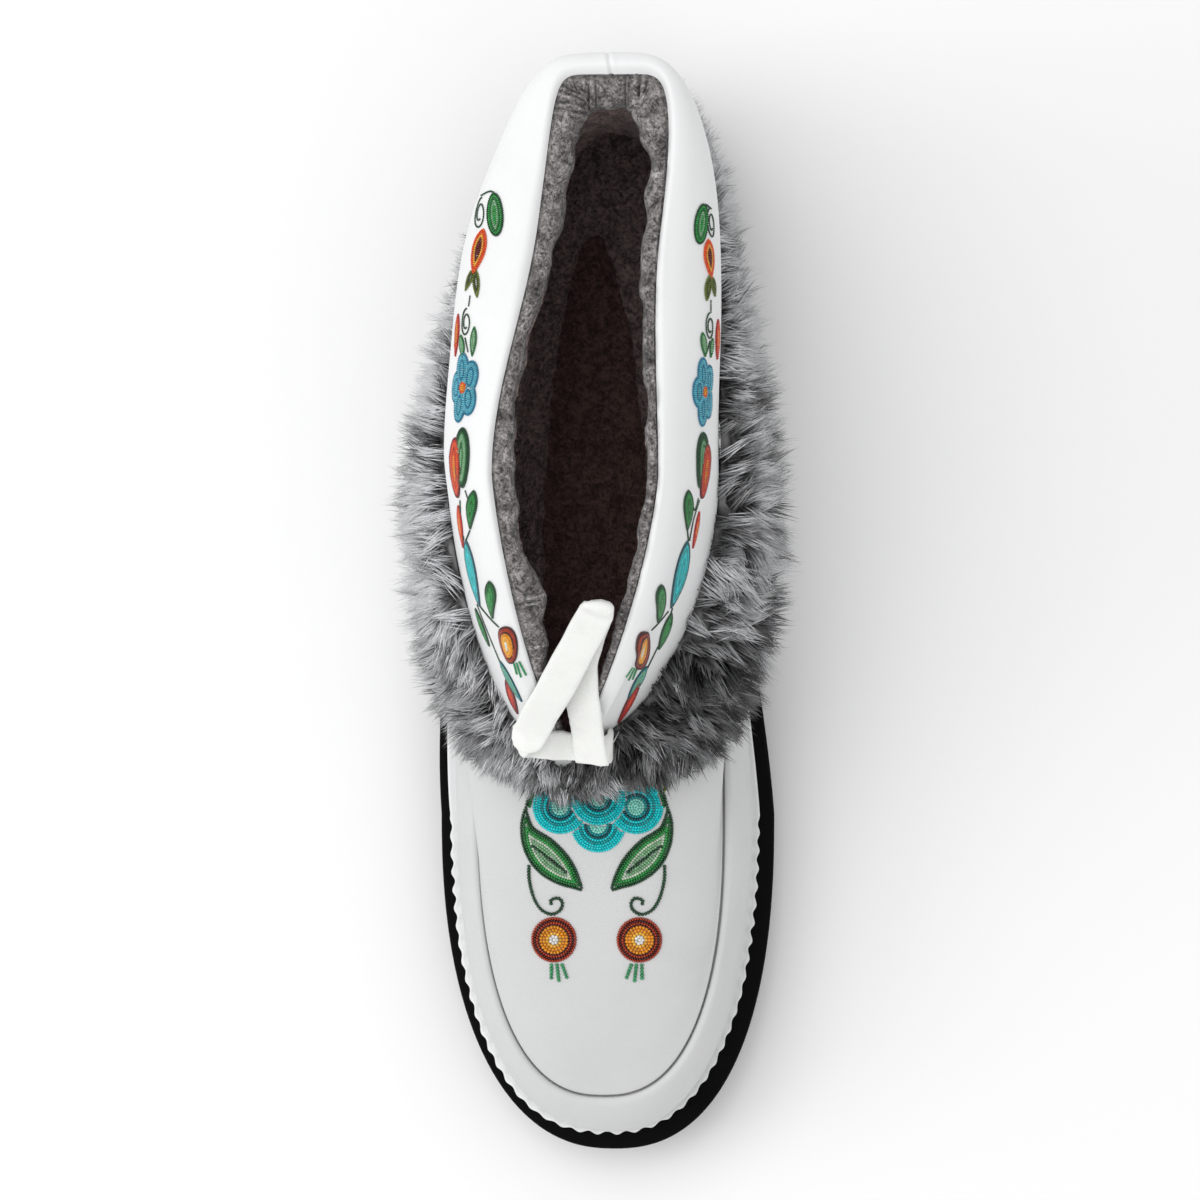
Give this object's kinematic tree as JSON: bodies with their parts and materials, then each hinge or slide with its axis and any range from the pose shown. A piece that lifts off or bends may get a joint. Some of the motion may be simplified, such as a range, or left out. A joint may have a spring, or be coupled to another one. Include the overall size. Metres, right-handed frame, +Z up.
{
  "type": "mukluk boot",
  "caption": "Low right-foot mukluk: white leather moccasin upper with inset apron, soft shaft, mottled fur cuff, black lugged rubber sole and a flat lace.",
  "frame": {"origin": "on the floor under the middle of the heel", "axes": "toe towards -Y, heel towards +Y, the big toe's side +X, +Z up"},
  "size_m": [0.107, 0.2814, 0.1637],
  "materials": {
    "black_rubber": "matt moulded rubber",
    "white_leather": "smooth, slightly sheened",
    "dark_fleece": "deep short pile",
    "mottled_fur": "long soft pile",
    "lace_leather": "soft suede"
  },
  "bodies": {
    "root": {"outsole": "black_rubber", "crimped_margin": "white_leather", "upper": "white_leather", "apron": "white_leather", "shaft": "white_leather", "insole": "dark_fleece", "fur_cuff": "mottled_fur", "lace_crossing": "lace_leather", "lace_loop": "lace_leather"}
  },
  "joints": []
}
